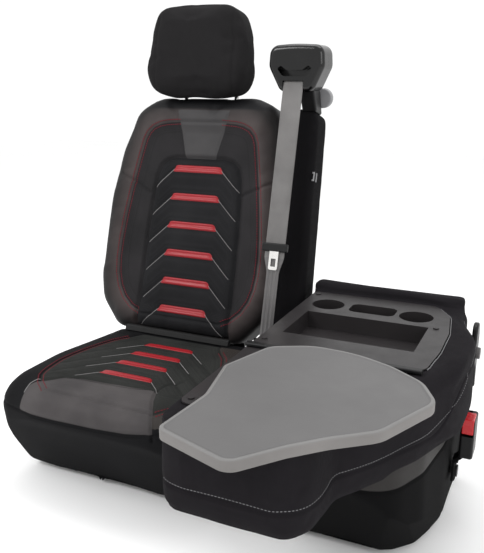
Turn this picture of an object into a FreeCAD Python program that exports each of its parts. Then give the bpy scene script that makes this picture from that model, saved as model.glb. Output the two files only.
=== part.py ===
import FreeCAD, Part
import math
import os

# Double bench for a van: an outer place with a headrest, and a middle place whose
# back folds forward into a console with a swivelling table.  Millimetres, +Z up,
# -Y is the front, origin on the floor at the centre of the four floor bolts.

os.makedirs("parts", exist_ok=True)
V = FreeCAD.Vector

# ---- driving dimensions -------------------------------------------------------
RECLINE = 16.0              # lean of the outer back, degrees
CREASE_Y, CREASE_Z = 105.0, 270.0
SKIN = 3.0                  # thickness of a fitted cover
GAP = 0.4                   # air between soft parts of different bodies
BOLT_X, BOLT_Y, BOLT_R = 362.0, 115.0, 5.5
RAIL_H, RAIL_W, FOOT_T = 40.0, 30.0, 8.0
PAN_TOP = 110.0
OUT_X0, OUT_X1 = -488.0, 22.0       # outer cushion, side to side
MID_X0, MID_X1 = 36.0, 464.0        # middle cushion, side to side
BACK_CX, BACK_HALF, BACK_H, BACK_T = -250.0, 238.0, 612.0, 122.0
HEAD_CX, HEAD_W, HEAD_D, HEAD_H = -247.0, 272.0, 118.0, 222.0
POST_GAP, POST_R, POST_D = 146.0, 6.0, 42.0
HINGE_Y, HINGE_Z, PIN_R, RUN = 180.0, 320.0, 8.0, 0.05
PAD_Z0, PAD_Z1, LIP_Z = 275.0, 410.0, 428.0     # folded middle back
TABLE_Z0, TABLE_T = 420.5, 15.5
PIVOT_X, PIVOT_Y = 300.0, -340.0
STRAP_W, STRAP_T = 50.0, 1.4

parts = {}


def put(name, shape):
    """Keep one clean solid under its node name."""
    solids = shape.Solids
    assert len(solids) >= 1, name
    if len(solids) > 1:
        solids = sorted(solids, key=lambda s: -s.Volume)
        if solids[1].Volume > 1.0:
            print(name, "holds", len(solids), "solids")
    parts[name] = solids[0] if len(solids) == 1 else Part.makeCompound(
        [s for s in solids if s.Volume > 1.0])


def box(x0, x1, y0, y1, z0, z1):
    return Part.makeBox(x1 - x0, y1 - y0, z1 - z0, V(x0, y0, z0))


def cyl(r, start, direction, length):
    return Part.makeCylinder(r, length, V(*start), V(*direction))


def rounded(points, place):
    """Closed wire with a radius at each corner; place() maps (a, b) into space."""
    n = len(points)
    marks = []
    for i in range(n):
        a, b, r = points[i]
        p = V(a, b, 0)
        q0 = V(points[i - 1][0], points[i - 1][1], 0)
        q1 = V(points[(i + 1) % n][0], points[(i + 1) % n][1], 0)
        d0 = (q0 - p).normalize()
        d1 = (q1 - p).normalize()
        half = math.acos(max(-1, min(1, d0.dot(d1)))) / 2
        if r <= 0 or half > 1.56:
            marks.append((p, None, p))
            continue
        t = r / math.tan(half)
        c = p + (d0 + d1).normalize() * (r / math.sin(half))
        mid = c + (p - c).normalize() * r
        marks.append((p + d0 * t, mid, p + d1 * t))
    edges = []
    for i in range(n):
        s, m, e = marks[i]
        if m is not None:
            edges.append(Part.Arc(place(s), place(m), place(e)).toShape())
        nxt = marks[(i + 1) % n][0]
        if (nxt - e).Length > 1e-4:
            edges.append(Part.LineSegment(place(e), place(nxt)).toShape())
    return Part.Wire(edges)


def plan(points, z0, z1, inset=0.0):
    """Upright prism over a plan outline given as (x, y, radius)."""
    wire = rounded(points, lambda p: V(p.x, p.y, z0))
    if inset:
        wire = wire.makeOffset2D(-inset)
    return Part.Face(wire).extrude(V(0, 0, z1 - z0))


def side(points, x0, x1, inset=0.0):
    """Prism across X over a side outline given as (y, z, radius)."""
    wire = rounded(points, lambda p: V(x0, p.x, p.y))
    if inset:
        wire = wire.makeOffset2D(-inset)
    return Part.Face(wire).extrude(V(x1 - x0, 0, 0))


def front(points, y0, y1, inset=0.0):
    """Prism along Y over a front outline given as (x, z, radius)."""
    wire = rounded(points, lambda p: V(p.x, y0, p.y))
    if inset:
        wire = wire.makeOffset2D(-inset)
    return Part.Face(wire).extrude(V(0, y1 - y0, 0))


def soften(shape, radius, keep=lambda e: True):
    """Round the chosen edges together, stepping the radius down until it holds."""
    edges = [e for e in shape.Edges if keep(e)]
    for f in (1.0, 0.8, 0.6, 0.4, 0.25):
        try:
            out = shape.makeFillet(radius * f, edges)
            if out.isValid() and out.Volume > 0 and len(out.Solids) == 1:
                return out
        except Exception:
            pass
    return shape


def lean(shape, degrees=RECLINE, y=CREASE_Y, z=CREASE_Z):
    """Take a shape drawn as (x, depth, height) at the crease and recline it."""
    out = shape.copy()
    out.translate(V(0, y, z))
    out.rotate(V(0, y, z), V(1, 0, 0), -degrees)
    return out


def up_dir(degrees=RECLINE):
    return (0, math.sin(math.radians(degrees)), math.cos(math.radians(degrees)))


def at(d, v, x=0.0):
    """Point at depth d and height v of the reclined back."""
    s, c = math.sin(math.radians(RECLINE)), math.cos(math.radians(RECLINE))
    return (x, CREASE_Y + v * s + d * c, CREASE_Z + v * c - d * s)


def in_plane(axis, value, tol=0.01):
    """Edges that lie wholly in the plane axis = value."""
    def test(e):
        b = e.BoundBox
        lo = {"x": b.XMin, "y": b.YMin, "z": b.ZMin}[axis]
        hi = {"x": b.XMax, "y": b.YMax, "z": b.ZMax}[axis]
        return abs(lo - value) < tol and abs(hi - value) < tol
    return test


# ---- floor frame --------------------------------------------------------------
z0, z1 = FOOT_T, FOOT_T + RAIL_H


def tube_x(x0, x1, y0):
    out = box(x0, x1, y0, y0 + RAIL_W, z0, z1)
    return out.cut(box(x0, x1, y0 + 2.5, y0 + RAIL_W - 2.5, z0 + 2.5, z1 - 2.5))


def tube_y(cx, y0, y1):
    out = box(cx - 15, cx + 15, y0, y1, z0, z1)
    return out.cut(box(cx - 12.5, cx + 12.5, y0, y1, z0 + 2.5, z1 - 2.5))


front_rail = tube_x(-405, 398, -130)
for s in (-1, 1):
    front_rail = front_rail.cut(cyl(BOLT_R + 1.0, (s * BOLT_X, -BOLT_Y, 0), (0, 0, 1), 60))
put("rail_front", front_rail)
put("rail_rear", tube_x(-440, 452, 165))
for name, cx in (("rail_outer", -330.0), ("rail_centre", 0.0), ("rail_inner", 330.0)):
    put(name, tube_y(cx, -100, 165))
for row, y0, y1, hy in (("front", -138, -90, -BOLT_Y), ("rear", 92, 195, BOLT_Y)):
    for hand, s in (("l", -1), ("r", 1)):
        foot = box(min(s * 312, s * 388), max(s * 312, s * 388), y0, y1, 0, FOOT_T)
        foot = soften(foot, 10, lambda e: abs(e.BoundBox.ZLength - FOOT_T) < 0.1)
        put("foot_%s_%s" % (row, hand), foot.cut(cyl(BOLT_R, (s * BOLT_X, hy, -1), (0, 0, 1), 20)))


BUCKLE_BOLT_Y, BUCKLE_BOLT_Z = 50.0, 95.0


def pan(x0, x1):
    out = box(x0, x1, -129, 118, z1, PAN_TOP)
    return out.cut(box(x0 + 2, x1 - 2, -127, 116, z1, PAN_TOP - 2))


put("pan_outer", pan(-418, -46))
put("pan_middle", pan(52, 436).cut(box(430, 440, 24, 76, 40, 56)))

# ---- cushions -------------------------------------------------------------------
CUSHION_TOP = 264.0
out_plan = [(OUT_X0, -245, 60), (OUT_X0 - 2, -60, 200), (-440, 126, 20), (-26, 126, 20),
            (OUT_X1 + 2, -60, 200), (OUT_X1, -245, 60), (-90, -281, 120), (-380, -281, 120)]
mid_plan = [(MID_X0, -230, 40), (MID_X0, 126, 10), (MID_X1, 126, 10), (MID_X1 - 6, -30, 300),
            (MID_X1 - 24, -170, 110), (398, -262, 80), (310, -281, 200), (120, -281, 120)]


def cushion(outline, inset):
    """Cushion block: rounded top rim, front sloping back to the skirt, rear eased for the hinge."""
    top = CUSHION_TOP - inset
    block = plan(outline, 20 if inset == 0 else 10, top, inset)
    block = soften(block, 34 - inset, in_plane("z", top))
    shift = 1.164 * inset
    nose = side([(-450, -10, 0), (-169.2 + shift, -10, 0), (-294.1 + shift, 200, 0), (-450, 200, 0)], -600, 600)
    heel = side([(98 - inset, 310, 0), (98 - inset, top - 20, 0), (108 - inset, 228 - inset, 0),
                 (150, 226 - inset, 0), (150, 310, 0)], -600, 600)
    return block.cut(nose).cut(heel)


def covered_cushion(tag, outline):
    outer = cushion(outline, 0)
    hollow = cushion(outline, SKIN)
    cover = outer.cut(hollow).cut(box(-600, 600, 96, 200, 0, 62)).cut(box(-60, 60, -200, 200, 0, 52))
    cover = cover.cut(cyl(10, (450, BUCKLE_BOLT_Y, BUCKLE_BOLT_Z), (1, 0, 0), 40))
    put("cushion_cover_" + tag, cover)
    put("cushion_foam_" + tag, hollow.common(box(-600, 600, -400, 300, PAN_TOP, 400)))


covered_cushion("outer", out_plan)
covered_cushion("middle", mid_plan)

# ---- outer back -----------------------------------------------------------------
h = BACK_HALF
half_outline = [(h - 72, 8, 50), (h - 14, 78, 90), (h, 150, 160), (h - 2, 340, 400), (h - 22, 478, 240),
                (h - 62, 582, 70), (h - 118, BACK_H, 90)]
back_outline = [(BACK_CX + a, v, r) for a, v, r in half_outline]
back_outline += [(BACK_CX - a, v, r) for a, v, r in reversed(half_outline)]


def pad(outline, depth, radius, inset=0.0):
    """Upright pad drawn as (x, height), front face at depth 0, rims rounded."""
    body = front(outline, inset, depth - inset, inset)
    body = soften(body, radius - inset, in_plane("y", inset))
    return soften(body, 22 - inset, in_plane("y", depth - inset))


guides_x = (HEAD_CX - POST_GAP / 2, HEAD_CX + POST_GAP / 2)
back_outer = lean(pad(back_outline, BACK_T, 38))
back_inner = lean(pad(back_outline, BACK_T, 38, SKIN))
plate = lean(box(-410, -90, 66, 70, 12, 560).cut(box(-360, -140, 60, 80, 90, 480)))
legs = []
for lx in (-395.0, -105.0):
    leg = side([(172, 48, 0), (180, 48, 0), (180, 246, 0), (190, 286, 0), (177, 288, 0), (172, 262, 0)],
               lx - 20, lx + 20)
    legs.append(leg)
frame = plate.fuse(legs[0]).fuse(legs[1])
put("back_frame", frame.removeSplitter())
sockets = []
for gx in guides_x:
    sockets.append(cyl(9.0, at(POST_D, 430, gx), up_dir(), 220))
wells = sockets[0].fuse(sockets[1])
leg_room = box(-416, -374, 150, 205, 200, 262).fuse(box(-126, -84, 150, 205, 200, 262))
foam = back_inner.cut(frame).cut(wells).cut(leg_room)
put("back_foam", foam)
put("back_cover", back_outer.cut(back_inner).cut(wells).cut(leg_room).cut(frame))
tuck = side([(104, 266, 2), (120, 262, 2), (126, 278, 4), (109, 280, 4)], -402, -100)
tuck = tuck.cut(back_outer).cut(cushion(out_plan, 0))
put("tuck_strip", tuck)

# ---- headrest ---------------------------------------------------------------------
HEAD_TILT, HEAD_Y, HEAD_Z = 8.0, 274.0, 866.0
hw = HEAD_W / 2
head_outline = [(HEAD_CX - hw + 22, 0, 50), (HEAD_CX + hw - 22, 0, 50), (HEAD_CX + hw, 55, 80),
                (HEAD_CX + hw - 12, 160, 120), (HEAD_CX + hw - 34, HEAD_H, 55),
                (HEAD_CX - hw + 34, HEAD_H, 55), (HEAD_CX - hw + 12, 160, 120), (HEAD_CX - hw, 55, 80)]


def head(inset):
    body = front(head_outline, -HEAD_D / 2 + inset, HEAD_D / 2 - inset, inset)
    body = soften(body, 34 - inset, lambda e: e.BoundBox.YLength < 0.01)
    return lean(body, HEAD_TILT, HEAD_Y, HEAD_Z)


posts = []
for tag, gx in (("l", guides_x[0]), ("r", guides_x[1])):
    post = cyl(POST_R, at(POST_D, 448, gx), up_dir(), 206)
    post = soften(post, 1.5, lambda e: abs(e.Length - 2 * math.pi * POST_R) < 0.1)
    posts.append(post)
    put("headrest_post_" + tag, post)
    sleeve = cyl(9.0, at(POST_D, 540, gx), up_dir(), 72)
    flange = lean(soften(box(gx - 13, gx + 13, POST_D - 13, POST_D + 13, BACK_H, BACK_H + 7), 3))
    guide = sleeve.fuse(flange).cut(cyl(POST_R + RUN, at(POST_D, 530, gx), up_dir(), 100))
    if tag == "r":
        slot = lean(box(gx + 7.5, gx + 14, POST_D - 5, POST_D + 5, BACK_H + 1.5, BACK_H + 5.5))
        guide = guide.cut(slot)
        knob = lean(box(gx + 10.5, gx + 18, POST_D - 4.9, POST_D + 4.9, BACK_H + 1.6, BACK_H + 5.4))
        put("headrest_button", soften(knob, 0.8))
    put("headrest_guide_" + tag, guide.removeSplitter())
both = posts[0].fuse(posts[1])
head_core = head(SKIN)
put("headrest_foam", head_core.cut(both))
put("headrest_cover", head(0).cut(head_core).cut(both))

# ---- belt tower -------------------------------------------------------------------
tower_outline = [(-9, -6, 6), (66, -6, 10), (50, 592, 16), (-9, 592, 16)]
tower_d0, tower_d1 = 30.0, 132.0


def tower(inset):
    body = front(tower_outline, tower_d0 + inset, tower_d1 - inset, inset)
    return lean(soften(body, 14 - inset, lambda e: e.BoundBox.YLength < 0.01))


mast = lean(box(6, 38, 62, 102, -22, 560))
mast_foot = side([(166, 48, 0), (194, 48, 0), (196, 262, 0), (160, 262, 0)], 6, 38)
mast = mast.fuse(mast_foot).removeSplitter()
put("tower_post", mast)
core = tower(SKIN).cut(mast)
put("tower_foam", core)
neck_side = [(299, 832, 4), (345, 820, 4), (326, 886, 0), (272, 886, 0)]
neck = soften(side(neck_side, 12, 49), 5, lambda e: e.BoundBox.XLength < 0.01 and e.BoundBox.ZLength > 20)
put("tower_cover", tower(0).cut(core).cut(mast).cut(neck))
head_front_outline = [(-28, 878, 22), (54, 878, 22), (82, 936, 30), (79, 984, 24), (10, 988, 400),
                      (-54, 984, 24), (-58, 936, 30)]
HB_Y0, HB_SPLIT, HB_Y1 = 245.0, 284.0, 325.0
bulb = front(head_front_outline, HB_Y0, HB_Y1)
bulb = soften(bulb, 13, lambda e: e.BoundBox.YLength < 0.01)
neck = neck.cut(tower(0))
put("belt_neck", neck)
mouth = front([(-34, 932, 4), (-20, 914, 14), (40, 914, 14), (54, 932, 4), (44, 938, 3), (30, 928, 12),
               (-10, 928, 12), (-24, 938, 3)], HB_Y0 - 5, HB_Y0 + 30)
strap_room = box(-19, 33, HB_Y0 - 5, HB_Y0 + 14, 860, 904)
front_shell = bulb.common(box(-200, 200, 0, HB_SPLIT, 800, 1100)).cut(mouth).cut(strap_room).cut(neck)
rear_shell = bulb.common(box(-200, 200, HB_SPLIT + 0.2, 500, 800, 1100)).cut(neck)
put("belt_head_front", front_shell)
put("belt_head_rear", rear_shell)
put("neck_cap", soften(cyl(24, (47, 346, 862), (0, 1, 0), 18), 4).cut(tower(0)).cut(neck))
hooks = []
for d in (40.0, 59.0):
    x = 66 - 16 * 426 / 592
    hook = box(x + 0.1, x + 5, d, d + 4, 426, 430).fuse(box(x + 0.1, x + 5, d, d + 4, 444, 448))
    hooks.append(lean(hook.fuse(box(x + 3, x + 5, d, d + 4, 426, 448)).removeSplitter()))
put("cover_hooks", hooks[0].fuse(hooks[1]))

# ---- belt: webbing, tongue, anchor ----------------------------------------------
S_TOP = V(7, 251.0, 903.0)
S_LOW = V(7, 92.0, 306.0)
run = S_TOP - S_LOW
STRAP_LEN = run.Length
tilt = math.degrees(math.atan2(run.y, run.z))


def on_strap(shape, dist):
    """Shape drawn as (x, depth, height) placed dist up the webbing from its foot."""
    out = shape.copy()
    out.rotate(V(0, 0, 0), V(1, 0, 0), -tilt)
    d = V(run)
    d.normalize()
    out.translate(S_LOW + d * dist)
    return out


strap = box(-STRAP_W / 2, STRAP_W / 2, -STRAP_T / 2, STRAP_T / 2, 0, STRAP_LEN)
put("webbing", on_strap(strap, 0))
T0 = 212.0
grip = soften(box(-32, 32, -6, 6, 0, 20), 3)
grip = grip.cut(box(-25.6, 25.6, -1.3, 1.3, -5, 30))
put("tongue_grip", on_strap(grip.cut(box(-14.2, 14.2, -4.6, -2.0, -1, 8)), T0))
blade = box(-11.5, 11.5, -4.5, -2.1, -44, 7.8)
blade = soften(blade, 5, lambda e: abs(e.BoundBox.YLength - 2.4) < 0.01 and e.BoundBox.ZMax < -40)
blade = blade.cut(box(-6, 6, -8, 0, -36, -17))
put("tongue_blade", on_strap(blade, T0))
anchor = box(-29, 29, -2, 2, -34, 2)
anchor = anchor.cut(box(-26, 26, -0.9, 0.9, -8, 3))
put("belt_anchor", on_strap(anchor, -1).cut(cushion(out_plan, 0)))

# ---- middle back (folded flat) ----------------------------------------------------
pad_plan = [(88, -545, 42), (312, -545, 36), (338, -505, 40), (345, -410, 60), (372, -372, 60),
            (440, -250, 90), (497, -110, 120), (494, 20, 260), (452, 150, 60), (447, 256, 26), (88, 256, 16)]
lip_plan = [(88, 206, 4), (449, 206, 12), (447, 256, 22), (88, 256, 12)]


def middle_back(inset):
    """Folded pad: thick slab with a stepped underside and a raised rear lip."""
    slab = plan(pad_plan, 256 + inset, PAD_Z1 - inset, inset)
    slab = soften(slab, 26 - inset, in_plane("z", 256 + inset))
    slab = soften(slab, 9 - inset, in_plane("z", PAD_Z1 - inset))
    lip = soften(plan(lip_plan, PAD_Z1 - 20, LIP_Z - inset, inset), 10 - inset, in_plane("z", LIP_Z - inset))
    step = side([(-318 - inset, 240, 0), (-318 - inset, 260, 0), (-292 - inset, PAD_Z0 + inset, 30),
                 (320, PAD_Z0 + inset, 0), (320, 240, 0)], 40, 540)
    return slab.fuse(lip).cut(step).removeSplitter()


tray_plan = [(98, 192, 10), (386, 192, 24), (424, 132, 60), (439, 20, 120), (440, -90, 60), (432, -182, 30),
             (360, -250, 40), (345, -420, 30), (320, -480, 30), (98, -480, 20)]
pad_outer = middle_back(0)
pad_inner = middle_back(SKIN)
frame_plate = plan([(100, 230, 10), (430, 230, 10), (458, 0, 100), (446, -150, 60), (352, -360, 60),
                    (320, -500, 30), (100, -500, 20)], 352, 355)
ears = []
for ex in (100.0, 428.0):
    ear = side([(150, 353, 0), (150, 318, 20), (180, 296, 24), (214, 318, 20), (220, 353, 0)], ex, ex + 6)
    ears.append(ear)
back_plate = frame_plate.fuse(ears[0]).fuse(ears[1])
pin_hole = cyl(PIN_R + RUN, (40, HINGE_Y, HINGE_Z), (1, 0, 0), 470)
back_plate = back_plate.cut(pin_hole).removeSplitter()
put("middle_frame", back_plate)
pin_room = cyl(13.0, (60, HINGE_Y, HINGE_Z), (1, 0, 0), 62).fuse(
    cyl(13.0, (410, HINGE_Y, HINGE_Z), (1, 0, 0), 70))

# ---- console tray -------------------------------------------------------------------
PAD_TOP = PAD_Z1 + 2
sheet = plan(tray_plan, PAD_Z1 - 1, PAD_TOP)
cups = []
for wx, wy in ((158.0, 104.0), (358.0, 98.0)):
    cup_in = cyl(36.5, (wx, wy, PAD_Z1 - 40), (0, 0, 1), 60)
    cups.append((cyl(38.5, (wx, wy, PAD_Z1 - 42), (0, 0, 1), 43.5), cup_in))
pocket_out = plan([(208, 74, 18), (314, 74, 18), (314, 136, 18), (208, 136, 18)], PAD_Z1 - 42, PAD_Z1 + 1)
pocket_in = plan([(210, 76, 16), (312, 76, 16), (312, 134, 16), (210, 134, 16)], PAD_Z1 - 40, PAD_Z1 + 20)
deep_out = box(129, 397, -112, 42, PAD_Z1 - 38, PAD_Z1 + 1)
deep_in = box(131, 395, -110, 40, PAD_Z1 - 18, PAD_Z1 + 20).fuse(
    box(131, 395, -58, 40, PAD_Z1 - 36, PAD_Z1))
wells_all = cups + [(pocket_out, pocket_in), (deep_out, deep_in)]
tray = sheet
for out_s, in_s in wells_all:
    tray = tray.fuse(out_s)
bed = tray
for out_s, in_s in wells_all:
    tray = tray.cut(in_s)
pivot_room = cyl(10.4, (PIVOT_X, PIVOT_Y, 340), (0, 0, 1), 160)
screw_spots = [(112.0, 170.0), (112.0, -160.0), (410.0, 40.0), (112.0, -460.0)]
screw_set = None
screw_room = None
for sx, sy in screw_spots:
    screw = cyl(2.8, (sx, sy, 356), (0, 0, 1), PAD_TOP - 356).fuse(cyl(6.0, (sx, sy, PAD_TOP), (0, 0, 1), 2.2))
    room = cyl(3.0, (sx, sy, 355.5), (0, 0, 1), 80)
    screw_set = screw if screw_set is None else screw_set.fuse(screw)
    screw_room = room if screw_room is None else screw_room.fuse(room)
put("console_tray", tray.cut(pivot_room).cut(screw_room).removeSplitter())
put("tray_screws", screw_set)
put("middle_foam", pad_inner.cut(back_plate).cut(pin_room).cut(bed).cut(pivot_room).cut(screw_room))
put("middle_cover", pad_outer.cut(pad_inner).cut(pin_room).cut(bed).cut(plan(tray_plan, PAD_Z1 - 4, 500)))
rail = soften(box(96, 430, -216, -200, PAD_TOP, PAD_TOP + 8), 3, lambda e: e.BoundBox.XLength > 100)
put("cross_rail", rail)

# ---- swivelling table ------------------------------------------------------------------
pivot = cyl(10.0, (PIVOT_X, PIVOT_Y, 355), (0, 0, 1), TABLE_Z0 - 355 + 8)
pivot = pivot.fuse(cyl(26.0, (PIVOT_X, PIVOT_Y, PAD_TOP), (0, 0, 1), 4.0))
put("table_pivot", pivot.removeSplitter())
table_plan = [(141, -605, 26), (148, -480, 60), (124, -364, 20), (160, -250, 40), (232, -213, 90),
              (316, -219, 200), (386, -249, 120), (448, -294, 70), (482, -362, 44), (428, -488, 60),
              (368, -537, 120), (324, -582, 100), (269, -652, 26)]
top = plan(table_plan, TABLE_Z0, TABLE_Z0 + TABLE_T)
top = soften(top, 4, in_plane("z", TABLE_Z0 + TABLE_T))
top = soften(top, 3, in_plane("z", TABLE_Z0))
recess = plan(table_plan, TABLE_Z0 + TABLE_T - 1.2, TABLE_Z0 + TABLE_T + 5, 12)
ring = plan(table_plan, TABLE_Z0 + TABLE_T - 1.2, TABLE_Z0 + TABLE_T + 5, 9.5).cut(recess)
top = top.cut(ring).cut(cyl(10.0 + RUN, (PIVOT_X, PIVOT_Y, TABLE_Z0 - 1), (0, 0, 1), 9.1))
put("table_top", top)
put("table_washer", cyl(24, (PIVOT_X, PIVOT_Y, PAD_TOP + 4.0), (0, 0, 1), TABLE_Z0 - PAD_TOP - 4.2).cut(
    cyl(10.0 + RUN, (PIVOT_X, PIVOT_Y, 400), (0, 0, 1), 50)))

# ---- hinge brackets, pins and fold lever -------------------------------------------------
for tag, bx, px0, px1 in (("l", 72.0, 66.5, 108.0), ("r", 459.0, 426.0, 484.0)):
    profile = [(166, 48, 0), (194, 48, 0), (204, 300, 10), (196, 346, 14), (164, 346, 14), (156, 300, 10)]
    if tag == "r":
        profile = [(166, 48, 0), (194, 48, 0), (200, 300, 10), (196, 344, 14), (164, 344, 14), (160, 300, 10)]
    bracket = side(profile, bx, bx + 5)
    if tag == "r":
        bracket = bracket.fuse(box(440, bx + 5, 166, 194, 48, 52))
    else:
        bracket = bracket.fuse(box(bx - 20, bx + 5, 166, 194, 48, 52))
    pin = cyl(PIN_R, (px0, HINGE_Y, HINGE_Z), (1, 0, 0), px1 - px0)
    head_x = bx - 5 if tag == "l" else bx + 5
    if tag == "l":
        pin = pin.fuse(cyl(12, (px0, HINGE_Y, HINGE_Z), (1, 0, 0), 5.4))
    put("hinge_bracket_" + tag, bracket.cut(cyl(PIN_R, (40, HINGE_Y, HINGE_Z), (1, 0, 0), 470)).removeSplitter())
    put("hinge_pin_" + tag, pin.removeSplitter())
lever = side([(176, 382, 16), (206, 388, 18), (222, 350, 30), (214, 290, 40), (214, 232, 5), (202, 226, 4),
              (196, 280, 40), (168, 304, 20), (164, 336, 20)], 468, 480)
lever = soften(lever, 4, lambda e: e.BoundBox.XLength < 0.01)
lever = lever.fuse(cyl(15, (465, HINGE_Y, HINGE_Z), (1, 0, 0), 15))
put("fold_lever", lever.cut(cyl(PIN_R + RUN, (400, HINGE_Y, HINGE_Z), (1, 0, 0), 120)).removeSplitter())
cap = cyl(13, (480.6, HINGE_Y, HINGE_Z), (1, 0, 0), 8).cut(cyl(PIN_R, (470, HINGE_Y, HINGE_Z), (1, 0, 0), 14))
put("lever_cap", soften(cap, 2.5, lambda e: abs(e.BoundBox.XMin - 488.6) < 0.01 and e.BoundBox.XLength < 0.01))

# ---- belt buckle ------------------------------------------------------------------------
BX, BY = 493.0, 36.0
B_PIVOT = (468.5, 50.0, 95.0)
shell = front([(BX - 14, 148, 6), (BX + 14, 148, 6), (BX + 14, 236, 5), (BX - 14, 236, 5)], BY - 28, BY + 28)
shell = soften(shell, 5, lambda e: e.BoundBox.YLength < 0.01)
well = box(BX - 12, BX + 12, BY - 40, BY + 10, 199, 250)
mouth = box(BX - 4, BX + 4, BY + 12, BY + 24.0, 190, 250)
stalk = front([(466, 82, 0), (471, 82, 0), (471, 126, 0), (497, 150, 0), (497, 162, 0), (489, 162, 0), (489, 152, 0), (466, 131, 0)], 24, 66)
stalk = stalk.cut(box(455, 520, 56, 70, 112, 170)).cut(cyl(8 + RUN, (BX - 40, 50, 95), (1, 0, 0), 40))
put("buckle_stalk", stalk.removeSplitter())
put("buckle_body", shell.cut(well).cut(mouth).cut(stalk))
put("buckle_button", soften(box(BX - 11.9, BX + 11.9, BY - 27.8, BY + 9.9, 204, 238.5), 2.5))
bolt = cyl(8.0, (441.5, 50, 95), (1, 0, 0), 34).fuse(cyl(13, (471.3, 50, 95), (1, 0, 0), 5))
put("buckle_bolt", bolt.removeSplitter())
arm = box(318, 446.5, 30, 70, 48, 51).fuse(box(441.5, 446.5, 30, 70, 48, 108))
put("buckle_bracket", arm.cut(cyl(8.0, (400, 50, 95), (1, 0, 0), 60)).removeSplitter())

# ---- elastic strap along the pad -------------------------------------------------------------
band = box(84.8, 87.8, -500, 262, 388, 398)
put("elastic_strap", band)
put("strap_hook", soften(box(81, 88, 264, 290, 384, 402), 2).fuse(box(84.8, 87.8, 262.2, 268, 388, 398)).removeSplitter())

for name, shape in parts.items():
    shape.exportStep(os.path.join("parts", name + ".step"))
print(len(parts), "nodes")
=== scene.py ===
import math
import bmesh
import bpy
import numpy as np
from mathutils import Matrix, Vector
from mathutils.bvhtree import BVHTree


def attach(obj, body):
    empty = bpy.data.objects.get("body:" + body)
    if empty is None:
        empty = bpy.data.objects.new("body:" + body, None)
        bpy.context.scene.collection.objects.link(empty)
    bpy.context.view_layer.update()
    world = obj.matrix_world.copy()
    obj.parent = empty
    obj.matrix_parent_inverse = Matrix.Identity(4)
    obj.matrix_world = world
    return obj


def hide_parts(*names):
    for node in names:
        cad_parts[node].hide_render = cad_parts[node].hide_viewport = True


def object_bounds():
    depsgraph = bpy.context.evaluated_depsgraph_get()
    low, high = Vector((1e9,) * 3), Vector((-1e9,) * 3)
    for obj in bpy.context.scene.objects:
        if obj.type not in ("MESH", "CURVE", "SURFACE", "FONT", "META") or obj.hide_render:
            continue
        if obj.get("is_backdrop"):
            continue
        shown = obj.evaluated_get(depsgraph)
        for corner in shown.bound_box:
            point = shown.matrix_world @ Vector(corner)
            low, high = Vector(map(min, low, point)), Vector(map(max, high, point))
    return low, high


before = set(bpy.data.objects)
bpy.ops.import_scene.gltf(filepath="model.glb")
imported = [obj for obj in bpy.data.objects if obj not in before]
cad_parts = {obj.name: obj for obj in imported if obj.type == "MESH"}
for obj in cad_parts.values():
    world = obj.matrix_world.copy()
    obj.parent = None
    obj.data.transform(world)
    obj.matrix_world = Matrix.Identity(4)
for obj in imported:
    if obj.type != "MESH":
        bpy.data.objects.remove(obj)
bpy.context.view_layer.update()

# ---- camera ----
CAM_PLACE = (0.620, -1.360, 0.900)
CAM_AZIMUTH, CAM_PITCH = math.radians(24.9), math.radians(15.5)
CAM_LENS, CAM_SENSOR = 45.57, 36.0
cam_data = bpy.data.cameras.new("camera")
cam_data.lens = CAM_LENS
cam_data.sensor_width = CAM_SENSOR
cam = bpy.data.objects.new("camera", cam_data)
cam.location = CAM_PLACE
cam.rotation_euler = (math.pi / 2 - CAM_PITCH, 0, CAM_AZIMUTH)
bpy.context.scene.collection.objects.link(cam)
bpy.context.scene.camera = cam


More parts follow.
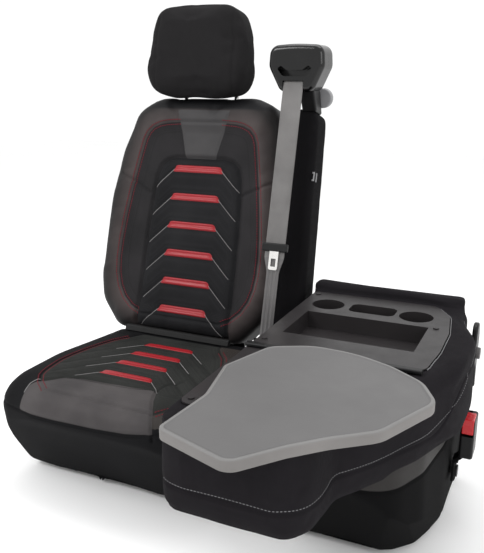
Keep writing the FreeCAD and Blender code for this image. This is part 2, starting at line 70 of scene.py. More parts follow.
# ---- materials ----
class Shade:
    """A small builder for one node material."""

    def __init__(self, name, rough=0.6, spec=0.08, **sockets):
        self.mat = bpy.data.materials.new(name)
        self.mat.use_nodes = True
        self.tree = self.mat.node_tree
        self.bsdf = self.tree.nodes["Principled BSDF"]
        self.bsdf.inputs["Roughness"].default_value = rough
        self.bsdf.inputs["Specular IOR Level"].default_value = spec
        for key, value in sockets.items():
            self.bsdf.inputs[key.replace("_", " ")].default_value = value
        self.coord = self.node("ShaderNodeTexCoord").outputs["Object"]

    def node(self, kind, **props):
        n = self.tree.nodes.new(kind)
        for key, value in props.items():
            setattr(n, key, value)
        return n

    def link(self, a, b):
        self.tree.links.new(a, b)

    def turned(self, angle):
        """Object coordinates turned about X, so that a weave follows a leaning piece."""
        m = self.node("ShaderNodeMapping")
        m.inputs["Rotation"].default_value = (angle, 0, 0)
        self.link(self.coord, m.inputs["Vector"])
        return m.outputs["Vector"]

    def noise(self, scale, detail=4.0):
        n = self.node("ShaderNodeTexNoise")
        n.inputs["Scale"].default_value = scale
        n.inputs["Detail"].default_value = detail
        n.inputs["Roughness"].default_value = 0.55
        self.link(self.coord, n.inputs["Vector"])
        return n.outputs["Fac"]

    def cells(self, scale):
        n = self.node("ShaderNodeTexVoronoi", feature="SMOOTH_F1")
        n.inputs["Scale"].default_value = scale
        self.link(self.coord, n.inputs["Vector"])
        return n.outputs["Distance"]

    def waves(self, scale, direction, vector):
        n = self.node("ShaderNodeTexWave", bands_direction=direction)
        n.inputs["Scale"].default_value = scale
        self.link(vector, n.inputs["Vector"])
        return n.outputs["Fac"]

    def math(self, op, a, b):
        n = self.node("ShaderNodeMath", operation=op)
        for i, v in enumerate((a, b)):
            if isinstance(v, (int, float)):
                n.inputs[i].default_value = v
            else:
                self.link(v, n.inputs[i])
        return n.outputs[0]

    def remap(self, value, lo, hi, to_lo=0.0, to_hi=1.0):
        n = self.node("ShaderNodeMapRange")
        for key, v in (("From Min", lo), ("From Max", hi), ("To Min", to_lo), ("To Max", to_hi)):
            n.inputs[key].default_value = v
        self.link(value, n.inputs["Value"])
        return n.outputs["Result"]

    def mix(self, fac, a, b):
        """Colour mix; sockets 0, 6 and 7 are the factor and the two colours."""
        n = self.node("ShaderNodeMix", data_type="RGBA")
        for key, v in ((0, fac), (6, a), (7, b)):
            if isinstance(v, tuple):
                n.inputs[key].default_value = v + (1,)
            else:
                self.link(v, n.inputs[key])
        return n.outputs[2]

    def mask(self, name, soft=0.0008):
        """1 where the named signed distance (metres) on the mesh is positive."""
        a = self.node("ShaderNodeAttribute", attribute_name=name)
        return self.remap(a.outputs["Fac"], -soft, soft)

    def colour(self, c):
        self.link(c, self.bsdf.inputs["Base Color"])

    def rough(self, r):
        self.link(r, self.bsdf.inputs["Roughness"])

    def bump(self, height, strength, distance):
        n = self.node("ShaderNodeBump")
        n.inputs["Strength"].default_value = strength
        n.inputs["Distance"].default_value = distance
        self.link(height, n.inputs["Height"])
        self.link(n.outputs["Normal"], self.bsdf.inputs["Normal"])


LIT = 0.62                       # surfaces here receive about 1.6 times a unit light


def srgb(r, g, b):
    """Linear base colour that shows as this 0-255 colour under the studio light."""
    def lin(v):
        v /= 255.0
        return v / 12.92 if v <= 0.04045 else ((v + 0.055) / 1.055) ** 2.4
    return (lin(r) * LIT, lin(g) * LIT, lin(b) * LIT)


def spread(base, vary):
    """A darker and a lighter version of one base colour."""
    return tuple(c * (1 - vary) for c in base), tuple(c * (1 + vary) for c in base)


def grain(s, scale=850.0):
    """Leather grain height: small pebbles with finer pores."""
    pebbles = s.cells(scale)
    pores = s.noise(scale * 2.2, 3.0)
    return s.math("ADD", s.math("MULTIPLY", pebbles, 0.9), s.math("MULTIPLY", pores, 0.35))


def weave(s, pitch, vector):
    """Cloth weave height from crossed sets of threads."""
    a, b, c = (s.waves(0.5 / pitch, axis, vector) for axis in "XZY")
    return s.math("ADD", s.math("MULTIPLY", a, b), s.math("MULTIPLY", s.math("MULTIPLY", a, c), 0.8))


def cloth(name, base, pitch, lean=0.0, rough=0.85, vary=0.22, spec=0.05):
    s = Shade(name, rough, spec)
    w = weave(s, pitch, s.turned(lean))
    patchy = s.remap(s.noise(11.0, 5.0), 0.3, 0.7)
    thread = s.remap(w, 0.0, 0.9)
    s.colour(s.mix(s.math("MULTIPLY", s.math("ADD", patchy, thread), 0.5), *spread(base, vary)))
    s.rough(s.remap(s.noise(60.0), 0.3, 0.7, rough - 0.05, min(1.0, rough + 0.05)))
    s.bump(s.math("ADD", w, s.math("MULTIPLY", s.noise(1500.0), 0.3)), 0.5, 0.0004)
    return s.mat


def plastic(name, base, rough=0.45, grain_scale=2200.0, strength=0.18, vary=0.08, spec=0.22, **sockets):
    s = Shade(name, rough, spec, **sockets)
    s.colour(s.mix(s.remap(s.noise(7.0, 4.0), 0.3, 0.7), *spread(base, vary)))
    s.rough(s.remap(s.noise(25.0), 0.3, 0.7, rough - 0.05, rough + 0.05))
    s.bump(s.noise(grain_scale, 2.0), strength, 0.0003)
    return s.mat


def metal(name, base, rough):
    s = Shade(name, rough, 0.5, Metallic=1.0)
    worn = tuple(c * 0.88 for c in base)
    s.colour(s.mix(s.remap(s.noise(30.0, 5.0), 0.3, 0.7), worn, base))
    s.rough(s.remap(s.noise(90.0), 0.3, 0.7, rough - 0.05, rough + 0.08))
    s.bump(s.noise(1200.0), 0.05, 0.0002)
    return s.mat


M_SKIRT = cloth("skirt_cloth", srgb(22, 21, 24), 0.0014)
M_HEAD = cloth("headrest_cloth", srgb(42, 41, 42), 0.0013, math.radians(8), vary=0.12)
M_TOWER = cloth("tower_cloth", srgb(26, 25, 27), 0.0014, math.radians(16), vary=0.14)
M_TUCK = cloth("tuck_cloth", srgb(60, 60, 60), 0.0016)
M_BAR = plastic("bar_red", srgb(170, 34, 43), 0.4, 600.0, 0.1, 0.05, Coat_Weight=0.12)
M_THREAD = cloth("thread_red", srgb(132, 42, 54), 0.0008, rough=0.7)
M_SILVER = cloth("piping_silver", srgb(150, 148, 148), 0.0009, rough=0.55)
M_WHITE = cloth("thread_pale", srgb(150, 150, 152), 0.0009, rough=0.6)
M_DARKSEAM = cloth("seam_dark", srgb(14, 14, 15), 0.001)
M_TABLE = plastic("table_grey", srgb(118, 117, 117), 0.55, 1500.0, 0.25, 0.05)
# lighter grey for the rounded top rim of the table: a painted highlight line
M_RIM_HIGHLIGHT = plastic("table_rim_painted_highlight", srgb(140, 139, 138), 0.45, 1500.0, 0.15, 0.06)
M_BAND = plastic("table_band", srgb(142, 139, 137), 0.6, 900.0, 0.4, 0.1)
M_GREYP = plastic("grey_plastic", srgb(112, 110, 110), 0.5, 1500.0, 0.2)
M_KNOB = plastic("pale_plastic", srgb(168, 168, 170), 0.4)
M_BEZEL = plastic("bezel_grey", srgb(74, 74, 76), 0.45)
M_TRAY = plastic("tray_black", srgb(48, 45, 46), 0.4, 1800.0, 0.3, 0.1, 0.3)
M_BLACKP = plastic("black_plastic", srgb(26, 26, 27), 0.38)
M_HEADP = plastic("belt_head_black", srgb(9, 9, 10), 0.2, 1200.0, 0.06, 0.08, 0.4)
M_RED = plastic("button_red", srgb(226, 40, 48), 0.28, 500.0, 0.05, Coat_Weight=0.4)
M_STEEL = metal("plated_steel", (0.72, 0.71, 0.70), 0.22)
M_BLADE = metal("blade_steel", (0.78, 0.77, 0.75), 0.26)
M_FRAME = plastic("frame_paint", srgb(30, 30, 31), 0.5)
M_WEB = cloth("webbing", srgb(137, 135, 134), 0.0011, math.radians(15), rough=0.6, vary=0.3, spec=0.2)
# the same webbing in a darker tone for the gathered part below the tongue: painted shade
M_WEB_SHADED = cloth("webbing_folded_painted_shade", srgb(122, 120, 120), 0.0011, math.radians(15), rough=0.5, vary=0.3, spec=0.3)
M_ELASTIC = cloth("elastic", srgb(22, 22, 23), 0.001)


# ---- geometry helpers ----
def new_object(name, data):
    obj = bpy.data.objects.new(name, data)
    bpy.context.scene.collection.objects.link(obj)
    return obj


def mesh_of(bm, name):
    """Mesh from a finished bmesh, its faces turned outward."""
    bmesh.ops.recalc_face_normals(bm, faces=bm.faces)
    mesh = bpy.data.meshes.new(name)
    bm.to_mesh(mesh)
    bm.free()
    return mesh


def link_mesh(name, verts, faces, material, smooth=True):
    mesh = bpy.data.meshes.new(name)
    mesh.from_pydata([tuple(v) for v in verts], [], faces)
    mesh.update()
    obj = new_object(name, mesh)
    obj.data.materials.append(material)
    if smooth:
        for p in mesh.polygons:
            p.use_smooth = True
    return obj


RECLINE = math.radians(16)
CREASE = Vector((0, 0.105, 0.270))
SIN, COS = math.sin(RECLINE), math.cos(RECLINE)


def back_point(x, v, d=0.0):
    """Point of the reclined back: x across, v up the slope, d behind its front plane."""
    return Vector((x, CREASE.y + v * SIN + d * COS, CREASE.z + v * COS - d * SIN))


def back_coords(p):
    """The inverse of back_point."""
    y, z = p[1] - CREASE.y, p[2] - CREASE.z
    return p[0], y * SIN + z * COS, y * COS - z * SIN


def round_outline(points, step=0.008):
    """Closed smooth outline through corner points given as (a, b, radius), in metres."""
    out = []
    n = len(points)
    for i in range(n):
        a, b, r = points[i]
        p = Vector((a, b))
        p0 = Vector(points[i - 1][:2])
        p1 = Vector(points[(i + 1) % n][:2])
        d0 = (p0 - p).normalized()
        d1 = (p1 - p).normalized()
        half = math.acos(max(-1, min(1, d0.dot(d1)))) / 2
        if r <= 0 or half > 1.56:
            out.append(p)
            continue
        t = min(r / math.tan(half), 0.49 * (p0 - p).length, 0.49 * (p1 - p).length)
        r = t * math.tan(half)
        c = p + (d0 + d1).normalized() * (r / math.sin(half))
        s, e = p + d0 * t - c, p + d1 * t - c
        turn = s.angle_signed(e)
        k = max(2, int(abs(turn) * r / step))
        for j in range(k + 1):
            ang = -turn * j / k
            out.append(c + Vector((s.x * math.cos(ang) - s.y * math.sin(ang),
                                   s.x * math.sin(ang) + s.y * math.cos(ang))))
    return out


def area_of(outline):
    """Twice the signed area, positive when the outline runs anticlockwise."""
    n = len(outline)
    return sum(outline[i][0] * outline[(i + 1) % n][1] - outline[(i + 1) % n][0] * outline[i][1] for i in range(n))


RIM_STEPS = 5                    # segments of a slab's rounded rim


def slab(name, outline, place, d0, d1, edge, material, far=None):
    """Closed slab over an outline; place(a, b, d) maps into space; near rim rounded by edge, far rim by far."""
    bm = bmesh.new()
    rings = []
    far = edge if far is None else far
    turn = [k / RIM_STEPS * math.pi / 2 for k in range(RIM_STEPS + 1)]
    rows = [(d0 + edge * (1 - math.cos(k)), edge * (1 - math.sin(k))) for k in turn]
    rows += [(d1 - far * (1 - math.cos(k)), far * (1 - math.sin(k))) for k in turn[::-1]]
    n = len(outline)
    normals = []
    for i in range(n):
        t = (outline[(i + 1) % n] - outline[i - 1]).normalized()
        normals.append(Vector((-t.y, t.x)))
    sign = 1 if area_of(outline) > 0 else -1
    for d, inset in rows:
        ring = []
        for i in range(n):
            q = outline[i] + normals[i] * inset * sign
            ring.append(bm.verts.new(place(q.x, q.y, d)))
        rings.append(ring)
    for a, b in zip(rings, rings[1:]):
        for i in range(n):
            bm.faces.new((a[i], a[(i + 1) % n], b[(i + 1) % n], b[i]))
    bm.faces.new(rings[0])
    bm.faces.new(rings[-1][::-1])
    obj = new_object(name, mesh_of(bm, name))
    obj.data.materials.append(material)
    return obj


def active(obj):
    bpy.ops.object.select_all(action="DESELECT")
    bpy.context.view_layer.objects.active = obj
    obj.select_set(True)


def apply_all(obj):
    """Turn the modified form into the mesh itself."""
    dep = bpy.context.evaluated_depsgraph_get()
    mesh = bpy.data.meshes.new_from_object(obj.evaluated_get(dep))
    obj.modifiers.clear()
    old = obj.data
    obj.data = mesh
    bpy.data.meshes.remove(old)


def per_vertex(obj, key):
    values = np.empty(len(obj.data.vertices) * 3)
    obj.data.vertices.foreach_get(key, values)
    return values.reshape(-1, 3)


def verts_of(obj):
    return per_vertex(obj, "co")


def normals_of(obj):
    return per_vertex(obj, "normal")


def set_verts(obj, co):
    obj.data.vertices.foreach_set("co", co.reshape(-1))
    obj.data.update()


def modify(obj, kind, **settings):
    m = obj.modifiers.new(kind.lower(), kind)
    for key, value in settings.items():
        setattr(m, key, value)
    apply_all(obj)


def remesh(obj, voxel):
    modify(obj, "REMESH", mode="VOXEL", voxel_size=voxel)


def smooth(obj, rounds, factor=0.5):
    modify(obj, "SMOOTH", iterations=rounds, factor=factor)


CLOTH_FRAMES = 20


def inflate(obj, cap, pins=None):
    """Swell a closed form as padded cloth, no point moving further than cap; pins(points) holds some still."""
    start = verts_of(obj).copy()
    if pins is not None:
        group = obj.vertex_groups.new(name="pin")
        group.add([int(i) for i in np.nonzero(pins(start))[0]], 1.0, "REPLACE")
    m = obj.modifiers.new("cloth", "CLOTH")
    s = m.settings
    s.quality = 4
    s.mass = 0.3
    s.tension_stiffness = 12
    s.compression_stiffness = 12
    s.shear_stiffness = 6
    s.bending_stiffness = 1.5
    s.use_pressure = True
    s.uniform_pressure_force = 4.0
    s.effector_weights.gravity = 0
    if pins is not None:
        s.vertex_group_mass = "pin"
    m.collision_settings.use_collision = False
    m.point_cache.frame_start = 1
    m.point_cache.frame_end = CLOTH_FRAMES
    scene = bpy.context.scene
    for f in range(1, CLOTH_FRAMES + 1):
        scene.frame_set(f)
    dep = bpy.context.evaluated_depsgraph_get()
    ev = obj.evaluated_get(dep)
    end = np.array([v.co[:] for v in ev.data.vertices])
    obj.modifiers.clear()
    scene.frame_set(1)
    move = end - start
    length = np.linalg.norm(move, axis=1, keepdims=True)
    move *= np.minimum(1.0, cap / np.maximum(length, 1e-9))
    set_verts(obj, start + move)
    smooth(obj, 2, 0.4)


def subdivide(obj):
    modify(obj, "SUBSURF", levels=1, render_levels=1)
    for p in obj.data.polygons:
        p.use_smooth = True


def fit(obj, low, high, to_local=None, to_world=None):
    """Stretch a finished form so that its box, in local coordinates, is exactly low to high."""
    co = verts_of(obj)
    loc = np.array([to_local(p) for p in co]) if to_local else co
    lo, hi = loc.min(0), loc.max(0)
    loc = (loc - lo) / (hi - lo) * (np.array(high) - np.array(low)) + np.array(low)
    set_verts(obj, np.array([tuple(to_world(*p)) for p in loc]) if to_world else loc)


def soft_piece(obj, body, fill, *stands_for, material=None):
    """Give a padded piece its material, attach it to its body and hide the nodes it stands for; fill, how full it is,
    is not used.
    """
    if material is not None:
        obj.data.materials.clear()
        obj.data.materials.append(material)
    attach(obj, body)
    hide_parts(*stands_for)


def attribute(obj, name, values):
    """Store one number per vertex, for a material mask."""
    a = obj.data.attributes.new(name, "FLOAT", "POINT")
    a.data.foreach_set("value", values.astype(np.float32))


def smoothstep(x, lo, hi):
    t = np.clip((x - lo) / (hi - lo), 0, 1)
    return t * t * (3 - 2 * t)


def seg_dist(a, b, pts, closed=False):
    """Distance from points (a, b) to a polyline."""
    best = np.full(a.shape, 1e9)
    n = len(pts)
    for i in range(n if closed else n - 1):
        x0, y0 = pts[i][0], pts[i][1]
        x1, y1 = pts[(i + 1) % n][0], pts[(i + 1) % n][1]
        dx, dy = x1 - x0, y1 - y0
        t = np.clip(((a - x0) * dx + (b - y0) * dy) / max(dx * dx + dy * dy, 1e-12), 0, 1)
        best = np.minimum(best, np.hypot(a - x0 - t * dx, b - y0 - t * dy))
    return best


def inside(a, b, pts):
    """Signed distance to a closed outline, positive inside."""
    d = seg_dist(a, b, pts, True)
    hit = np.zeros(a.shape, bool)
    n = len(pts)
    for i in range(n):
        x0, y0 = pts[i][0], pts[i][1]
        x1, y1 = pts[(i + 1) % n][0], pts[(i + 1) % n][1]
        if y0 == y1:
            continue
        hit ^= ((y0 > b) != (y1 > b)) & (a < (x1 - x0) * (b - y0) / (y1 - y0) + x0)
    return np.where(hit, d, -d)


def groove(dist, width, depth):
    """Displacement of a sewn channel: deepest on the line."""
    return -depth * np.exp(-(dist / width) ** 2)


def resample(points, step):
    """Points at an even step along a polyline, its two ends kept."""
    pts = [Vector(p) for p in points]
    out = [pts[0].copy()]
    left = step
    for a, b in zip(pts, pts[1:]):
        seg = (b - a).length
        pos = left
        while pos <= seg:
            out.append(a.lerp(b, pos / seg))
            pos += step
        left = pos - seg
    if (out[-1] - pts[-1]).length > step * 0.3:
        out.append(pts[-1].copy())
    return out


class Skin:
    """Finds the surface of a finished piece, so that trim can lie on it."""

    def __init__(self, obj):
        self.tree = BVHTree.FromObject(obj, bpy.context.evaluated_depsgraph_get())

    def drop(self, origin, direction, reach):
        hit = self.tree.ray_cast(Vector(origin), Vector(direction).normalized(), reach)
        return (hit[0], hit[1]) if hit[0] is not None else (None, None)


RIBBON_ROWS = 5


def ribbon(name, path, normals, width, height, material):
    """A raised rounded strip that follows points on a surface."""
    verts, faces = [], []
    n = len(path)
    for i in range(n):
        t = (path[min(i + 1, n - 1)] - path[max(i - 1, 0)]).normalized()
        nn = normals[i].normalized()
        s = t.cross(nn).normalized()
        for k in range(RIBBON_ROWS):
            u = -1 + 2 * k / (RIBBON_ROWS - 1)
            lift = height * math.sqrt(max(0.0, 1 - u * u)) - 0.0006
            verts.append(path[i] + s * (u * width / 2) + nn * lift)
    for i in range(n - 1):
        for k in range(RIBBON_ROWS - 1):
            a, b = i * RIBBON_ROWS + k, (i + 1) * RIBBON_ROWS + k
            faces.append((a, a + 1, b + 1, b))
    return link_mesh(name, verts, faces, material)


def trace(skin, pts3, direction, step=0.004):
    """Project a 3-D polyline onto a skin along direction; returns points and normals."""
    path, normals = [], []
    d = Vector(direction).normalized()
    for p in resample(pts3, step):
        loc, nor = skin.drop(p - d * 0.15, d, 0.35)
        if loc is None:
            continue
        if nor.dot(d) > 0:
            nor = -nor
        path.append(loc)
        normals.append(nor)
    return path, normals


def bar_patch(skin, place, direction, centre, top, half, flare, height):
    """Raised welded bar: a low dome over a trapezoid, projected on to a skin."""
    lift = 0.0042
    d = Vector(direction).normalized()
    cols, rows = 28, 10
    verts, faces = [], []
    for j in range(rows + 1):
        w = j / rows
        wide = half + flare * w - 0.005 * max(0.0, 1 - w / 0.2) ** 2 - 0.003 * max(0.0, (w - 0.8) / 0.2) ** 2
        for i in range(cols + 1):
            u = math.sin((i / cols - 0.5) * math.pi)
            q = place(centre + u * wide, top - height * w)
            hit, _ = skin.drop(q - d * 0.15, d, 0.35)
            dome = max(0.0, 1 - abs(u) ** 10) ** 0.5 * max(0.0, 4 * w * (1 - w)) ** 0.4
            verts.append(hit + d * 0.0006 - d * (lift * dome))
    n = cols + 1
    for j in range(rows):
        for i in range(cols):
            a = j * n + i
            faces.append((a, a + 1, a + n + 1, a + n))
    return link_mesh("bar", verts, faces, M_BAR)


def join(name, parts, body):
    """Join several trim objects into one piece that rides on a body."""
    active(parts[0])
    for p in parts:
        p.select_set(True)
    bpy.ops.object.join()
    obj = bpy.context.view_layer.objects.active
    obj.name = name
    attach(obj, body)
    return obj


# length, gap, width and height of one stitch
RED_STITCH = (0.0050, 0.0014, 0.0026, 0.0013)
DARK_STITCH = (0.0040, 0.0018, 0.0016, 0.0009)
PALE_STITCH = (0.0040, 0.0018, 0.0016, 0.0010)


def stitches(path, normals, material, size):
    """Separate thread stitches along a path that is sampled every 1 mm or so."""
    length, gap, width, height = size
    verts, faces = [], []
    total = 0.0
    run_to = [0.0]
    for a, b in zip(path, path[1:]):
        total += (b - a).length
        run_to.append(total)

    def at(s):
        i = max(0, min(len(path) - 2, int(np.searchsorted(run_to, s)) - 1))
        f = (s - run_to[i]) / max(1e-9, run_to[i + 1] - run_to[i])
        return path[i].lerp(path[i + 1], f), normals[i].lerp(normals[i + 1], f).normalized()

    s = 0.0
    while s + length < total:
        base = len(verts)
        rings = 4
        for k in range(rings):
            f = k / (rings - 1)
            p, nn = at(s + f * length)
            q, _ = at(min(total - 1e-6, s + f * length + 0.0005))
            t = (q - p).normalized() if (q - p).length > 1e-9 else Vector((1, 0, 0))
            side = t.cross(nn).normalized()
            bulge = math.sin(math.pi * (0.12 + 0.76 * f))
            for u, h in ((-1, 0.0), (-0.6, 0.8), (0.6, 0.8), (1, 0.0)):
                verts.append(p + side * (u * width / 2 * bulge) + nn * (h * height * bulge - 0.0002))
        for k in range(rings - 1):
            for c in range(3):
                a = base + k * 4 + c
                faces.append((a, a + 1, a + 5, a + 4))
        s += length + gap
    return link_mesh("stitches", verts, faces, material)


def offset_line(points, amount, closed=False):
    """Move a 2-D polyline sideways by amount."""
    out = []
    n = len(points)
    for i in range(n):
        a = Vector(points[i - 1 if (i > 0 or closed) else 0][:2])
        b = Vector(points[(i + 1) % n if (i < n - 1 or closed) else n - 1][:2])
        t = (b - a).normalized()
        p = Vector(points[i][:2])
        out.append((p.x - t.y * amount, p.y + t.x * amount))
    return out


def inward(outline, amount):
    """A closed outline moved inward, whichever way round it runs."""
    pts = [tuple(p) for p in outline]
    return [Vector(p) for p in offset_line(pts, amount if area_of(pts) > 0 else -amount, True)]


def red_stitching(name, lines, project):
    """A red row of stitches on either side of each seam line."""
    rows = []
    for line in lines:
        for offset in (-0.006, 0.006):
            path, normals = project(offset_line(line, offset), 0.001)
            rows.append(stitches(path, normals, M_THREAD, RED_STITCH))
    join(name, rows, "bench")


# ---- outer back pad ----
BACK_X, BACK_HALF = -0.254, 0.245
# corners of one half as (half width, height up the slope, corner radius); the two shoulders differ
half = [(BACK_HALF - 0.072, 0.008, 0.05), (BACK_HALF - 0.014, 0.078, 0.09),
        (BACK_HALF, 0.150, 0.16), (BACK_HALF - 0.002, 0.340, 0.4)]
top_right = [(BACK_HALF - 0.019, 0.488, 0.24), (BACK_HALF - 0.042, 0.596, 0.05), (BACK_HALF - 0.100, 0.621, 0.08)]
top_left = [(BACK_HALF - 0.024, 0.476, 0.24), (BACK_HALF - 0.060, 0.580, 0.07), (BACK_HALF - 0.122, 0.619, 0.10)]
back_corners = [(BACK_X + a, v, r) for a, v, r in half + top_right]
back_corners += [(BACK_X - a, v, r) for a, v, r in reversed(half + top_left)]
shrunk = [Vector(p) for p in offset_line(round_outline(back_corners), 0.007, True)]
back = slab("outer_back_pad", shrunk, back_point, 0.010, 0.116, 0.024, M_SKIRT, 0.016)
remesh(back, 0.007)
inflate(back, 0.008)
subdivide(back)
fit(back, (-0.511, -0.002, -0.001), (-0.008, 0.624, 0.121), back_coords, back_point)

SX = -0.247                                  # centre of the sewn pattern
stitch_half = [(0.060, 0.554), (0.100, 0.551), (0.120, 0.547), (0.139, 0.538), (0.152, 0.524), (0.160, 0.505),
               (0.167, 0.470), (0.176, 0.420), (0.185, 0.365), (0.194, 0.300), (0.200, 0.235), (0.201, 0.185),
               (0.197, 0.145), (0.187, 0.112), (0.170, 0.084), (0.148, 0.064), (0.118, 0.047)]
panel = [(SX + a, v) for a, v in stitch_half[::-1]] + [(SX - a, v) for a, v in stitch_half]
CX = -0.241                                  # centre of the raised column and its bars
column_half = [(0.070, 0.462), (0.094, 0.456), (0.112, 0.440), (0.121, 0.412), (0.126, 0.360), (0.131, 0.270),
               (0.133, 0.150), (0.134, 0.010)]
column = [(CX - a, v) for a, v in column_half[::-1]] + [(CX + a, v) for a, v in column_half]
yoke = [(SX - 0.071, 0.585), (SX - 0.037, 0.462), (SX + 0.049, 0.462), (SX + 0.079, 0.585)]
notches = [[(-0.470, 0.412), (-0.425, 0.392), (-0.380, 0.366)], [(-0.028, 0.412), (-0.070, 0.392), (-0.112, 0.374)]]
BAR_V = [0.434 - 0.073 * i for i in range(6)]
BAR_HALF, BAR_FALL = 0.068, 0.95             # half width of a bar's lower edge, slope of the piping beside it
TOP_ROLL = 0.59                              # above this height the back turns over its top edge

co = verts_of(back)
nor = normals_of(back)
loc = np.array([back_coords(p) for p in co])
ax, av, ad = loc[:, 0], loc[:, 1], loc[:, 2]
facing = smoothstep(-(nor[:, 1] * COS - nor[:, 2] * SIN), 0.25, 0.75)
d_panel = inside(ax, av, panel)
d_col = inside(ax, av, column)
d_yoke = inside(ax, av, yoke)
disp = -0.009 * smoothstep(d_panel, -0.012, 0.030)
disp += groove(np.abs(d_panel), 0.0035, 0.0035)
for post in (-0.320, -0.174):
    disp -= 0.005 * np.exp(-(np.hypot(ax - post, ad - 0.042) / 0.020) ** 4) * (av > TOP_ROLL)
disp += 0.005 * smoothstep(d_col, 0.0, 0.022)
disp += groove(np.abs(d_col), 0.0048, 0.0075)
disp += groove(np.abs(d_yoke), 0.0026, 0.002) * (av < 0.575)
for line in notches:
    disp += groove(seg_dist(ax, av, line), 0.0035, 0.0045)
for v in BAR_V:
    side = np.abs(ax - CX)
    below = np.where(side < BAR_HALF, v, v - (side - BAR_HALF) * BAR_FALL) - av
    rise = 0.0028 * np.sin(np.pi * np.clip(below / 0.07, 0, 1))
    disp += np.where(d_col > 0.004, groove(np.abs(below), 0.0035, 0.0022), 0)
    disp += np.where((d_col > 0.004) & (below > 0) & (below < 0.07), rise, 0)
co = co + nor * (disp * np.maximum(facing, av > TOP_ROLL))[:, None]
set_verts(back, co)
# distance that masks the painted highlight on the leather border beside the seam
attribute(back, "d_seam_highlight", 0.030 - np.abs(d_panel))
attribute(back, "d_panel", d_panel)
attribute(back, "d_col", d_col)
attribute(back, "d_yoke", np.where(av > 0.45, d_yoke, -1))
attribute(back, "d_front", 0.034 - ad)
attribute(back, "d_brow", av - 0.588)


def back_material():
    """Leather border, lighter beside the seam as a painted highlight, woven panel, darker column, grey yoke; black over
    the top and behind.
    """
    s = Shade("outer_back_cover", 0.6, 0.12)
    w = weave(s, 0.0017, s.turned(RECLINE))
    patchy = s.remap(s.noise(8.0, 5.0), 0.3, 0.7)
    thread = s.math("MULTIPLY", s.math("ADD", patchy, w), 0.5)
    away = s.mix(patchy, srgb(30, 29, 30), srgb(44, 42, 42))
    # the lighter border colour beside the seam is a painted highlight on its bulge, not a leather colour
    seam_highlight = s.mix(patchy, srgb(60, 54, 54), srgb(88, 79, 78))
    border = s.mix(s.mask("d_seam_highlight", 0.022), away, seam_highlight)
    woven_panel = s.mix(thread, srgb(34, 34, 35), srgb(60, 58, 60))
    woven_column = s.mix(thread, srgb(26, 26, 28), srgb(48, 48, 50))
    grey_yoke = s.mix(patchy, srgb(66, 65, 66), srgb(82, 80, 81))
    black = s.mix(patchy, srgb(20, 20, 22), srgb(34, 34, 36))
    c = s.mix(s.mask("d_panel"), border, woven_panel)
    c = s.mix(s.mask("d_col"), c, woven_column)
    c = s.mix(s.mask("d_yoke"), c, grey_yoke)
    c = s.mix(s.mask("d_brow", 0.003), c, black)
    c = s.mix(s.mask("d_front", 0.004), black, c)
    s.colour(c)
    woven = s.math("MAXIMUM", s.math("SUBTRACT", s.mask("d_panel"), s.mask("d_yoke")), s.mask("d_col"))
    s.rough(s.remap(woven, 0, 1, 0.5, 0.85))
    s.bump(s.math("ADD", s.math("MULTIPLY", w, woven), s.math("MULTIPLY", grain(s), 0.5)), 0.4, 0.0004)
    return s.mat


soft_piece(back, "bench", 0.8, "back_cover", "back_foam", material=back_material())
back_skin = Skin(back)
INTO_BACK = (0, COS, -SIN)


def on_back(points, step):
    return trace(back_skin, [back_point(a, v) for a, v in points], INTO_BACK, step)


red_stitching("outer_back_red_stitching", [[(SX + side * a, v) for a, v in stitch_half] for side in (-1, 1)], on_back)
PIPE_RUN = 0.052                             # how far each silver line runs out beside its bar
bars, piping = [], []
for v in BAR_V:
    bars.append(bar_patch(back_skin, back_point, INTO_BACK, CX, v + 0.008, 0.063, 0.011, 0.019))
    for side in (-1, 1):
        p, nn = on_back([(CX + side * (BAR_HALF - 0.002), v - 0.002),
                         (CX + side * (BAR_HALF + PIPE_RUN), v - 0.004 - PIPE_RUN * BAR_FALL)], 0.003)
        if len(p) > 2:
            piping.append(ribbon("pipe", p, nn, 0.0020, 0.0020, M_SILVER))
join("outer_back_red_bars", bars, "bench")
join("outer_back_silver_piping", piping, "bench")

# ---- headrest ----
HEAD_X, HEAD_HALF, HEAD_Y, HEAD_Z = -0.253, 0.136, 0.274, 0.866
HEAD_MID = 0.059                             # half its depth
HEAD_SIN, HEAD_COS = math.sin(math.radians(8)), math.cos(math.radians(8))


def head_point(a, b, d):
    """Point of the headrest: a across, b up its slope, d behind its front."""
    d -= HEAD_MID
    return Vector((a, HEAD_Y + b * HEAD_SIN + d * HEAD_COS, HEAD_Z + b * HEAD_COS - d * HEAD_SIN))


def head_coords(p):
    """The inverse of head_point."""
    y, z = p[1] - HEAD_Y, p[2] - HEAD_Z
    return p[0], y * HEAD_SIN + z * HEAD_COS, y * HEAD_COS - z * HEAD_SIN + HEAD_MID


head_half = [(HEAD_HALF - 0.022, 0.0, 0.05), (HEAD_HALF, 0.055, 0.08), (HEAD_HALF - 0.012, 0.160, 0.12),
             (HEAD_HALF - 0.034, 0.222, 0.055)]
head_corners = [(HEAD_X - head_half[0][0],) + head_half[0][1:]]
head_corners += [(HEAD_X + a, v, r) for a, v, r in head_half]
head_corners += [(HEAD_X - a, v, r) for a, v, r in head_half[:0:-1]]
head_outline = [Vector(p) for p in offset_line(round_outline(head_corners), 0.005, True)]
headrest = slab("headrest_pad", head_outline, head_point, 0.006, 0.112, 0.030, M_HEAD, 0.020)
remesh(headrest, 0.006)
inflate(headrest, 0.005)
subdivide(headrest)
fit(headrest, (HEAD_X - HEAD_HALF - 0.010, -0.004, -0.001), (HEAD_X + HEAD_HALF - 0.002, 0.222, 0.118),
    head_coords, head_point)
co = verts_of(headrest)
nor = normals_of(headrest)
side = np.abs(co[:, 0] - HEAD_X)
height = co[:, 2] - HEAD_Z
side_seam = np.abs(side - 0.108 + 0.10 * np.clip(height - 0.12, 0, 1))
